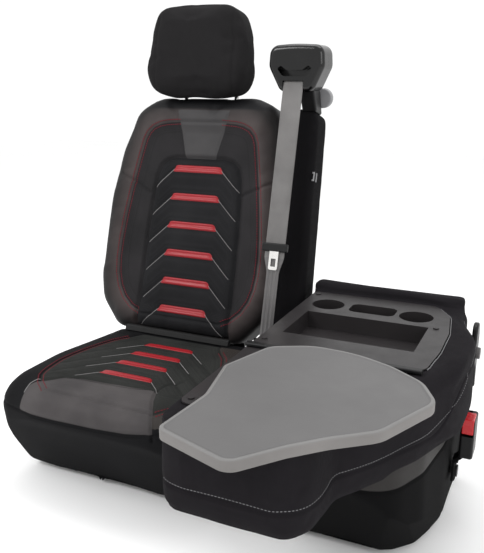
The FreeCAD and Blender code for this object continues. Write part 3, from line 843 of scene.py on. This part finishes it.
disp = groove(side_seam, 0.004, 0.0022) * smoothstep(-nor[:, 1], 0.2, 0.6)
disp += 0.0012 * np.sin(co[:, 0] * 55 + 1.0) * np.sin(co[:, 2] * 38)
set_verts(headrest, co + nor * disp[:, None])
soft_piece(headrest, "headrest", 0.85, "headrest_cover", "headrest_foam")

# ---- belt tower cover ----
tower_corners = [(-0.009, -0.006, 0.006), (0.076, -0.006, 0.010), (0.050, 0.604, 0.022), (-0.009, 0.604, 0.016)]
tower_outline = [Vector(p) for p in offset_line(round_outline(tower_corners, 0.004), 0.002, True)]
tower = slab("tower_pad", tower_outline, back_point, 0.032, 0.130, 0.014, M_TOWER)
remesh(tower, 0.005)
inflate(tower, 0.003)
subdivide(tower)
fit(tower, (-0.009, -0.006, 0.030), (0.074, 0.604, 0.132), back_coords, back_point)
soft_piece(tower, "bench", 0.8, "tower_cover", "tower_foam")

# ---- cushions ----
# plans of the two places, as (x, y, corner radius)
OUTER_PLAN = [(-0.500, -0.258, 0.050), (-0.502, -0.060, 0.200), (-0.446, 0.124, 0.030), (-0.026, 0.124, 0.030),
              (0.024, -0.060, 0.200), (0.022, -0.245, 0.060), (-0.090, -0.281, 0.120), (-0.380, -0.281, 0.120)]
MIDDLE_PLAN = [(0.036, -0.230, 0.040), (0.036, 0.124, 0.015), (0.464, 0.124, 0.015), (0.458, -0.030, 0.300),
               (0.440, -0.170, 0.110), (0.398, -0.262, 0.080), (0.310, -0.281, 0.200), (0.120, -0.281, 0.120)]
CUSHION_REAR = 0.124


def hanging(top):
    """Placer for slabs whose depth is measured down from a height."""
    return lambda a, b, d: Vector((a, b, top - d))


def hem_line(z):
    """How far forward the front of a cushion reaches at height z."""
    return -0.2941 + (0.200 - z) * 0.5948


def cushion_body(name, corners, top, rim):
    """Cushion block with a rounded top rim and a front that slopes back to the hem."""
    corners = [(a, b + 0.040 if b > 0.1 else b, r) for a, b, r in corners]    # trimmed to CUSHION_REAR below
    outline = [Vector(p) for p in offset_line(round_outline(corners), 0.003, True)]
    obj = slab(name, outline, hanging(top), 0.0, top - 0.020, rim, M_SKIRT, 0.003)
    remesh(obj, 0.0065)
    co = verts_of(obj)
    co[:, 0] += 0.11 * np.clip(0.190 - co[:, 2], 0, None) * smoothstep(-co[:, 0], 0.28, 0.47)
    co[:, 1] = np.clip(co[:, 1], hem_line(co[:, 2]) + 0.003, CUSHION_REAR)
    set_verts(obj, co)
    smooth(obj, 3)
    return obj


cushion = cushion_body("outer_cushion_pad", OUTER_PLAN, 0.255, 0.048)
inflate(cushion, 0.009, pins=lambda c: (c[:, 2] < 0.06) | (c[:, 1] > 0.09))
subdivide(cushion)
fit(cushion, (-0.511, -0.290, 0.016), (0.026, 0.126, 0.264))
co = verts_of(cushion)
raised = smoothstep(co[:, 2], 0.15, 0.24)
co[:, 2] -= raised * (0.011 * smoothstep(-co[:, 0], 0.36, 0.50) + 0.016 * smoothstep(-co[:, 1], 0.185, 0.275))
set_verts(cushion, co)

QX = -0.233                                  # centre of the sewn pattern
left_seam = [(-0.376, -0.253), (-0.404, -0.232), (-0.421, -0.208), (-0.430, -0.170), (-0.437, -0.116), (-0.431, -0.075),
             (-0.421, -0.036), (-0.405, 0.005), (-0.390, 0.037), (-0.363, 0.072)]
right_seam = [(2 * QX - a, b) for a, b in left_seam]
woven_panel = left_seam + [(-0.345, 0.104), (-0.121, 0.104)] + right_seam[::-1]
# the grey leather front panel, its upper edge, and the dark seam at its right end
nose = [(-0.426, -0.36), (-0.424, -0.245), (-0.400, -0.224), (-0.362, -0.200), (-0.321, -0.192), (-0.234, -0.189),
        (-0.168, -0.185), (-0.129, -0.181), (-0.118, -0.215), (-0.077, -0.290), (-0.060, -0.36)]
nose_edge = nose[2:8]
dark_seam = [(-0.060, -0.36), (-0.077, -0.290), (-0.118, -0.215), (-0.131, -0.178), (-0.122, -0.150), (-0.098, -0.118)]
HEM_SEAM = [(-0.50, 0.200), (-0.40, 0.199), (-0.327, 0.198), (-0.218, 0.201), (-0.144, 0.206), (-0.096, 0.214), (0.05, 0.222)]
CUSHION_BARS = [0.046, -0.016, -0.078, -0.142]

co = verts_of(cushion)
nor = normals_of(cushion)
cx, cy, cz = co[:, 0], co[:, 1], co[:, 2]
up = smoothstep(nor[:, 2], 0.2, 0.7)
fwd = smoothstep(-nor[:, 1], 0.35, 0.8) * (cy < -0.15)
seam_height = np.interp(cx, [a for a, _ in HEM_SEAM], [b for _, b in HEM_SEAM])
d_woven = inside(cx, cy, woven_panel)
d_nose = np.minimum(inside(cx, cy, nose), cz - seam_height)
disp = up * (-0.004 * smoothstep(d_woven, -0.01, 0.03) + groove(np.abs(d_woven), 0.0032, 0.0032))
disp += up * groove(seg_dist(cx, cy, nose_edge), 0.0032, 0.0040)
disp += np.maximum(up, fwd) * groove(seg_dist(cx, cy, dark_seam), 0.0032, 0.0045) * (cz > 0.20)
disp += fwd * groove(np.abs(cz - seam_height), 0.0030, 0.0035)
for b in CUSHION_BARS:
    side = np.abs(cx - QX)
    ahead = np.where(side < BAR_HALF, b - 0.003, b - 0.003 - (side - BAR_HALF) * BAR_FALL) - cy
    rise = 0.0032 * np.sin(np.pi * np.clip(ahead / 0.058, 0, 1))
    on = up * (d_woven > 0.012) * (cy > -0.192)
    disp += on * groove(np.abs(ahead), 0.0035, 0.0016)
    disp += on * np.where((ahead > 0) & (ahead < 0.058), rise, 0)
disp += 0.0022 * np.sin(cx * 21 + 0.7) * np.sin(cz * 17 + cy * 9) * smoothstep(0.19 - cz, 0, 0.05)
set_verts(cushion, co + nor * disp[:, None])
attribute(cushion, "d_woven", np.where(cz > 0.2, d_woven, -0.05))
attribute(cushion, "d_nose", d_nose)
attribute(cushion, "d_right", np.where((cz > 0.225) & (cy < 0.1), np.minimum(cx + 0.118, cz - 0.225), -0.05))


def cushion_material():
    """Black skirt, brown-grey leather on the right, woven panel, grey leather front."""
    s = Shade("outer_cushion_cover", 0.6, 0.12)
    w = weave(s, 0.0017, s.coord)
    patchy = s.remap(s.noise(8.0, 5.0), 0.3, 0.7)
    thread = s.math("MULTIPLY", s.math("ADD", patchy, w), 0.5)
    c = s.mix(thread, srgb(14, 14, 16), srgb(26, 26, 28))
    c = s.mix(s.mask("d_right", 0.002), c, s.mix(patchy, srgb(52, 48, 46), srgb(74, 69, 66)))
    c = s.mix(s.mask("d_woven"), c, s.mix(thread, srgb(34, 35, 34), srgb(62, 63, 61)))
    c = s.mix(s.mask("d_nose"), c, s.mix(patchy, srgb(66, 63, 64), srgb(92, 88, 88)))
    s.colour(c)
    leather = s.math("MAXIMUM", s.mask("d_nose"), s.math("SUBTRACT", s.mask("d_right"), s.mask("d_woven")))
    s.rough(s.remap(leather, 0, 1, 0.85, 0.48))
    s.bump(s.math("ADD", w, s.math("MULTIPLY", grain(s), 0.4)), 0.4, 0.0004)
    return s.mat


soft_piece(cushion, "bench", 0.85, "cushion_cover_outer", "cushion_foam_outer", material=cushion_material())
cushion_skin = Skin(cushion)


def above_cushion(a, b):
    return Vector((a, b, 0.30))


def on_cushion(points, step):
    return trace(cushion_skin, [above_cushion(a, b) for a, b in points], (0, 0, -1), step)


red_stitching("outer_cushion_red_stitching", (left_seam, right_seam), on_cushion)
bars, piping = [], []
for b in CUSHION_BARS:
    bars.append(bar_patch(cushion_skin, above_cushion, (0, 0, -1), QX, b + 0.010, 0.062, 0.010, 0.020))
    for side in (-1, 1):
        far = PIPE_RUN if b > -0.13 else 0.042
        p, nn = on_cushion([(QX + side * (BAR_HALF - 0.002), b - 0.003),
                            (QX + side * (BAR_HALF + far), b - 0.005 - far * BAR_FALL)], 0.003)
        piping.append(ribbon("pipe", p, nn, 0.0020, 0.0020, M_SILVER))
p, nn = on_cushion([(-0.426, -0.262), (-0.425, -0.240), (-0.412, -0.222)], 0.003)
if len(p) > 2:
    piping.append(ribbon("pipe", p, nn, 0.0026, 0.0018, M_SILVER))
join("outer_cushion_red_bars", bars, "bench")
join("outer_cushion_silver_piping", piping, "bench")
p, nn = on_cushion(offset_line(nose_edge, -0.006), 0.001)
trim = [stitches(p, nn, M_DARKSEAM, DARK_STITCH)]
below_hem_seam = [Vector((a, -0.32, b - 0.006)) for a, b in HEM_SEAM if -0.43 < a < -0.08]
p, nn = trace(cushion_skin, below_hem_seam, (0, 1, 0), 0.001)
trim.append(stitches(p, nn, M_DARKSEAM, DARK_STITCH))
join("outer_cushion_dark_stitching", trim, "bench")

mid = cushion_body("middle_cushion_pad", MIDDLE_PLAN, 0.246, 0.024)
inflate(mid, 0.006, pins=lambda c: (c[:, 2] < 0.05) | (c[:, 1] > 0.10))
subdivide(mid)
fit(mid, (0.034, -0.281, 0.020), (0.466, 0.126, 0.261))
co = verts_of(mid)
# towards the hem the front right corner is cut back further and further
corner = np.interp(co[:, 0], (0.360, 0.390, 0.424, 0.442, 0.470), (0, 0.018, 0.058, 0.108, 0.205))
co[:, 1] = np.maximum(co[:, 1], hem_line(co[:, 2]) + corner * np.clip((0.200 - co[:, 2]) / 0.180, 0, 1) ** 0.8)
set_verts(mid, co)
smooth(mid, 4)
co = verts_of(mid)
nor = normals_of(mid)
cx, cy, cz = co[:, 0], co[:, 1], co[:, 2]
# side panel of grey leather round the front right corner, its lower edge a sewn curve
d_patch = cz - (0.198 + 0.10 * smoothstep(cy, -0.06, 0.10))
outw = smoothstep(np.abs(nor[:, 2]), 0.9, 0.4)
disp = outw * groove(np.abs(d_patch), 0.0032, 0.0035)
disp += 0.0025 * np.sin(cx * 23 + 0.7) * np.sin(cz * 15 + cy * 11) * outw
set_verts(mid, co + nor * disp[:, None])
attribute(mid, "d_patch", d_patch)


def middle_cushion_material():
    """Black cloth with the grey leather side panel."""
    s = Shade("middle_cushion_cover", 0.6)
    w = weave(s, 0.0015, s.coord)
    patchy = s.remap(s.noise(8.0, 5.0), 0.3, 0.7)
    c = s.mix(s.math("MULTIPLY", s.math("ADD", patchy, w), 0.5), srgb(9, 9, 10), srgb(20, 20, 21))
    c = s.mix(s.mask("d_patch"), c, s.mix(patchy, srgb(56, 54, 53), srgb(70, 68, 67)))
    s.colour(c)
    s.rough(s.remap(s.mask("d_patch"), 0, 1, 0.85, 0.5))
    s.bump(s.math("ADD", w, s.math("MULTIPLY", grain(s), 0.4)), 0.4, 0.0004)
    return s.mat


soft_piece(mid, "bench", 0.85, "cushion_cover_middle", "cushion_foam_middle", material=middle_cushion_material())

# ---- folded middle back, now a table base ----
PAD = [(0.088, -0.545, 0.042), (0.312, -0.545, 0.036), (0.338, -0.505, 0.040), (0.345, -0.410, 0.060),
       (0.372, -0.372, 0.060), (0.440, -0.250, 0.090), (0.497, -0.110, 0.120), (0.494, 0.020, 0.260),
       (0.452, 0.150, 0.060), (0.447, 0.256, 0.026), (0.088, 0.256, 0.016)]
TRAY = [(0.098, 0.192, 0.010), (0.386, 0.192, 0.024), (0.424, 0.132, 0.060), (0.439, 0.020, 0.120),
        (0.440, -0.090, 0.060), (0.432, -0.182, 0.030), (0.360, -0.250, 0.040), (0.345, -0.420, 0.030),
        (0.320, -0.480, 0.030), (0.098, -0.480, 0.020)]


pad_outline = inward(round_outline(PAD), 0.003)
tray_outline = round_outline(TRAY)
LIP = [(0.091, 0.207, 0.004), (0.444, 0.207, 0.004), (0.444, 0.253, 0.02), (0.091, 0.253, 0.012)]

pad = slab("middle_back_pad", pad_outline, hanging(0.409), 0.0, 0.150, 0.008, M_SKIRT)
lip = slab("lip", round_outline(LIP), hanging(0.429), 0.0, 0.06, 0.008, M_SKIRT)
well = slab("well", inward(tray_outline, 0.006), hanging(0.48), 0.0, 0.118, 0.001, M_SKIRT)
for other, op in ((lip, "UNION"), (well, "DIFFERENCE")):
    modify(pad, "BOOLEAN", operation=op, solver="EXACT", object=other)
    bpy.data.objects.remove(other)
remesh(pad, 0.0045)
co = verts_of(pad)
# the lower edge is tucked in toward the middle, and the underside rises behind the knees
PAD_MIDDLE = (0.27, -0.15)
low = smoothstep(0.274 - co[:, 2], 0.0, 0.016)
away = co[:, :2] - np.array(PAD_MIDDLE)
reach = np.linalg.norm(away, axis=1, keepdims=True)
rim = inside(co[:, 0], co[:, 1], pad_outline)
pull = np.clip(0.007 * low - np.maximum(rim, 0), 0, None)
co[:, :2] -= away / np.maximum(reach, 1e-6) * pull[:, None]
co[:, 2] = np.maximum(co[:, 2], 0.254 + 0.014 * smoothstep(co[:, 1], -0.325, -0.295))
set_verts(pad, co)
inflate(pad, 0.0035,
        pins=lambda c: (inside(c[:, 0], c[:, 1], tray_outline) > 0.0) | (c[:, 0] < 0.095) | (c[:, 2] < 0.262))
co = verts_of(pad)
under = inside(co[:, 0], co[:, 1], tray_outline) > -0.0015      # kept below the console tray
co[:, 2] = np.where(under & (co[:, 2] > 0.39), np.minimum(co[:, 2], 0.4075), co[:, 2])
set_verts(pad, co)
subdivide(pad)
fit(pad, (0.0885, -0.546, 0.254), (0.4965, 0.256, 0.432))
co = verts_of(pad)
nor = normals_of(pad)
px, py, pz = co[:, 0], co[:, 1], co[:, 2]
outw = smoothstep(np.abs(nor[:, 2]), 0.85, 0.4) * (inside(px, py, pad_outline) < 0.02)
seam_z = 0.300 + 0.075 * smoothstep(px, 0.40, 0.50) * smoothstep(py, -0.22, -0.10)
disp = outw * groove(np.abs(pz - seam_z), 0.003, 0.0032)
disp += outw * 0.0016 * np.sin(px * 31 + 1.1) * np.sin(py * 27 + pz * 40)
set_verts(pad, co + nor * disp[:, None])
soft_piece(pad, "middle_back", 0.9, "middle_cover", "middle_foam",
           material=cloth("middle_back_cover", srgb(38, 36, 39), 0.0014))
pad_skin = Skin(pad)


def round_pad(points, step):
    """Path round the outside of the folded pad."""
    path, normals = [], []
    for q in resample(points, step):
        d = Vector((PAD_MIDDLE[0] - q.x, PAD_MIDDLE[1] - q.y, 0)).normalized()
        hit, nn = pad_skin.drop(q - d * 0.08, d, 0.2)
        if hit is None or (path and (hit - path[-1]).length > 0.02):
            continue
        path.append(hit)
        normals.append(nn)
    return path, normals


front_seam = [(0.095, -0.545, 0.306), (0.167, -0.545, 0.306), (0.247, -0.545, 0.306), (0.292, -0.535, 0.306),
              (0.318, -0.496, 0.306), (0.332, -0.416, 0.306), (0.345, -0.373, 0.306), (0.390, -0.295, 0.306),
              (0.430, -0.220, 0.312), (0.475, -0.130, 0.345), (0.495, -0.081, 0.372), (0.497, -0.015, 0.384),
              (0.470, 0.100, 0.392), (0.449, 0.154, 0.398)]
p, nn = round_pad(front_seam, 0.001)
join("middle_back_pale_stitching", [stitches(p, nn, M_WHITE, PALE_STITCH)], "middle_back")
edge = [Vector((q.x + 0.003, q.y, 0.411)) for q in tray_outline if q.x > 0.384 and -0.182 < q.y < 0.186]
edge.sort(key=lambda q: -q.y)
path, normals = [], []
for q in resample(edge, 0.004):
    hit, nn = pad_skin.drop(q + Vector((0, 0, 0.05)), (0, 0, -1), 0.2)
    if hit is not None and hit.z > 0.39:
        path.append(hit)
        normals.append(Vector((0, 0, 1)))
join("middle_back_edge_piping", [ribbon("edge", path, normals, 0.0020, 0.0030, M_WHITE)], "middle_back")

# ---- belt webbing ----
S_LOW, S_TOP = Vector((0.007, 0.092, 0.306)), Vector((0.007, 0.251, 0.903))
run = S_TOP - S_LOW
along = run.normalized()
out_dir = (Vector((0, -1, 0)) - along * Vector((0, -1, 0)).dot(along)).normalized()
ROWS, COLS = 160, 24
WEB_WIDTH, WEB_HALF_THICK = 0.050, 0.0007
GATHER, GATHER_FROM, GATHER_TO = 0.018, 0.158, 0.202     # narrower by GATHER below the tongue
verts, faces = [], []
for i in range(ROWS + 1):
    s = run.length * i / ROWS
    gathered = float(1 - smoothstep(s, GATHER_FROM, GATHER_TO))
    for face in (1, -1):
        for j in range(COLS + 1):
            u = j / COLS - 0.5
            wave = 0.0013 * gathered * math.sin(2 * math.pi * 3.2 * u + 2.0 + s * 5)
            wave += 0.0006 * math.sin(s * 22) * (1 - 4 * u * u)
            across = Vector((1, 0, 0)) * (u * (WEB_WIDTH - GATHER * gathered))
            verts.append(S_LOW + along * s + across + out_dir * (wave + face * WEB_HALF_THICK))
C = COLS + 1
for i in range(ROWS):
    a, b = i * 2 * C, (i + 1) * 2 * C
    for j in range(COLS):
        faces.append((a + j, a + j + 1, b + j + 1, b + j))
        faces.append((a + C + j + 1, a + C + j, b + C + j, b + C + j + 1))
    faces.append((a + COLS, a + C + COLS, b + C + COLS, b + COLS))
    faces.append((a + C, a, b, b + C))
for i in (0, ROWS):
    a = i * 2 * C
    for j in range(COLS):
        f = (a + j, a + C + j, a + C + j + 1, a + j + 1)
        faces.append(f if i == 0 else f[::-1])
strap = link_mesh("belt_webbing", verts, faces, M_WEB)
strap.data.materials.append(M_WEB_SHADED)
# faces below the tongue take the darker copy, painted shade on the gathered webbing
for poly in strap.data.polygons:
    if (poly.center - S_LOW).dot(along) < GATHER_TO - 0.004:
        poly.material_index = 1
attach(strap, "bench")
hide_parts("webbing")

# ---- elastic strap of the middle back ----
def strip(name, pts, width, thick, side_dir, material):
    """Flat band that follows a smooth path, its width along side_dir; returns the path too."""
    path = resample(pts, 0.004)
    for _ in range(6):
        inner = [(path[i - 1] + path[i] * 2 + path[i + 1]) / 4 for i in range(1, len(path) - 1)]
        path = [path[0]] + inner + [path[-1]]
    verts, faces = [], []
    for i, q in enumerate(path):
        t = (path[min(i + 1, len(path) - 1)] - path[max(i - 1, 0)]).normalized()
        side = (Vector(side_dir) - t * Vector(side_dir).dot(t)).normalized()
        n = t.cross(side)
        for u, w in ((-1, -1), (1, -1), (1, 1), (-1, 1)):
            verts.append(q + side * (u * width / 2) + n * (w * thick / 2))
    for i in range(len(path) - 1):
        for k in range(4):
            a, b = i * 4 + k, i * 4 + (k + 1) % 4
            faces.append((a, b, b + 4, a + 4))
    faces.append((3, 2, 1, 0))
    e = (len(path) - 1) * 4
    faces.append((e, e + 1, e + 2, e + 3))
    return link_mesh(name, verts, faces, material, smooth=False), path


ELASTIC_PATH = [(0.0863, 0.266, 0.392), (0.0858, 0.10, 0.394), (0.0856, -0.10, 0.390), (0.0856, -0.32, 0.395),
                (0.0858, -0.50, 0.391)]
band, band_path = strip("pad_elastic_strap", ELASTIC_PATH, 0.010, 0.0016, (0, 0, 1), M_ELASTIC)
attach(band, "middle_back")
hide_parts("elastic_strap")

# ---- table top ----
TABLE = [(0.137, -0.607, 0.018), (0.148, -0.480, 0.060), (0.124, -0.364, 0.020), (0.160, -0.250, 0.040),
         (0.232, -0.213, 0.090), (0.316, -0.219, 0.200), (0.386, -0.249, 0.120), (0.448, -0.294, 0.070),
         (0.482, -0.362, 0.044), (0.428, -0.488, 0.060), (0.368, -0.537, 0.120), (0.324, -0.582, 0.100),
         (0.269, -0.652, 0.026)]
table_line = round_outline(TABLE, 0.004)
# edge profile from the underside to the top, as (height, inset); its faces take three materials, and the lighter grey
# on the rows of the rounded top rim is a painted highlight
profile = [(0.4175, 0.004), (0.4177, 0.0022), (0.4188, 0.0005), (0.4205, 0.0), (0.4320, 0.0), (0.4345, 0.0006),
           (0.4357, 0.0024), (0.4360, 0.0045), (0.4357, 0.0064), (0.4347, 0.0078), (0.4341, 0.0092), (0.4342, 0.0120)]
BAND_ROWS, RIM_HIGHLIGHT_ROWS = range(1, 5), range(5, 8)
bm = bmesh.new()
rings = [[bm.verts.new((q.x, q.y, z)) for q in inward(table_line, inset)] for z, inset in profile]
count = len(table_line)
for k, (a, b) in enumerate(zip(rings, rings[1:])):
    for i in range(count):
        f = bm.faces.new((a[i], a[(i + 1) % count], b[(i + 1) % count], b[i]))
        f.material_index = 1 if k in RIM_HIGHLIGHT_ROWS else (2 if k in BAND_ROWS else 0)
        f.smooth = True
bm.faces.new(rings[0])
bm.faces.new(rings[-1])
table = new_object("table_board", mesh_of(bm, "table"))
for material in (M_TABLE, M_RIM_HIGHLIGHT, M_BAND):
    table.data.materials.append(material)
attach(table, "table")
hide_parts("table_top")

# ---- finishes of the rigid pieces ----
FINISH = {
    "belt_head_front": M_HEADP, "belt_head_rear": M_HEADP, "belt_neck": M_BLACKP, "neck_cap": M_KNOB,
    "headrest_guide_l": M_BEZEL, "headrest_guide_r": M_BEZEL, "headrest_button": M_BEZEL,
    "headrest_post_l": M_STEEL, "headrest_post_r": M_STEEL, "tongue_grip": M_BLACKP, "tongue_blade": M_BLADE,
    "console_tray": M_TRAY, "tray_screws": M_TRAY, "cross_rail": M_BLACKP, "table_top": M_TABLE,
    "table_pivot": M_BLACKP, "table_washer": M_BLACKP, "fold_lever": M_BLACKP, "lever_cap": M_GREYP,
    "buckle_body": M_BLACKP, "buckle_button": M_RED, "buckle_stalk": M_ELASTIC, "buckle_bolt": M_FRAME,
    "buckle_bracket": M_FRAME, "cover_hooks": M_KNOB, "tuck_strip": M_TUCK, "strap_hook": M_BLACKP,
    "belt_anchor": M_BLACKP, "back_frame": M_FRAME, "middle_frame": M_FRAME, "tower_post": M_FRAME,
}
for name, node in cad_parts.items():
    finish = FINISH.get(name, M_FRAME)
    if not node.material_slots:
        node.data.materials.append(finish)
    for holder in node.material_slots:
        holder.link = "OBJECT"
        holder.material = finish

# ---- floor and light ----
bpy.ops.mesh.primitive_plane_add(size=14, location=(0, 1.0, 0))
floor = bpy.context.object
floor.name = "studio_floor"
white = Shade("studio_floor", 0.9)
white.colour(white.mix(white.remap(white.noise(0.6), 0.3, 0.7), (0.95, 0.95, 0.95), (0.97, 0.97, 0.97)))
floor.data.materials.append(white.mat)
floor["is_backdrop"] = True

world = bpy.data.worlds.new("studio")
bpy.context.scene.world = world
world.use_nodes = True
background = world.node_tree.nodes["Background"]
background.inputs["Color"].default_value = (1, 1, 1, 1)
background.inputs["Strength"].default_value = 1.04
bpy.context.scene.view_settings.view_transform = "Standard"


def lamp(name, location, target, size, power):
    """Rectangular lamp aimed at a target."""
    data = bpy.data.lights.new(name, "AREA")
    data.shape = "RECTANGLE"
    data.size, data.size_y = size
    data.energy = power
    obj = new_object(name, data)
    obj.location = location
    obj.rotation_euler = (Vector(target) - Vector(location)).to_track_quat("-Z", "Y").to_euler()


lamp("key_light", (-1.4, -1.6, 2.3), (0, 0, 0.35), (1.3, 1.0), 34)
lamp("fill_light", (2.2, -1.2, 1.5), (0.1, 0, 0.4), (1.4, 1.2), 16)
lamp("top_light", (0.1, 0.5, 2.6), (0, 0, 0.3), (1.8, 1.2), 22)

low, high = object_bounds()
